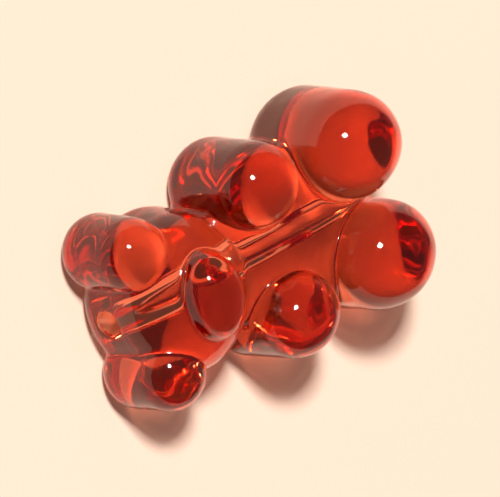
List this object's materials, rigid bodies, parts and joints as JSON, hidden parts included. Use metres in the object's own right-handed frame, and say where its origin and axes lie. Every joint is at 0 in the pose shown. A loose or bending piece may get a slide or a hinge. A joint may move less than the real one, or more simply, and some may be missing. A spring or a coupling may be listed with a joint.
{
  "type": "gummy bear bead",
  "caption": "Bead of clear red acrylic in the shape of a gummy bear, flat on its back, with a stringing hole from its head to its feet.",
  "frame": {"origin": "on the table, under the middle of the bead's box", "axes": "+Y along the bead to its ears, +Z out of its tummy, +X to the side"},
  "size_m": [0.011, 0.0176, 0.0069],
  "materials": {
    "acrylic": "clear red acrylic, polished by the mould"
  },
  "bodies": {
    "root": {"bear": "acrylic"}
  },
  "joints": []
}
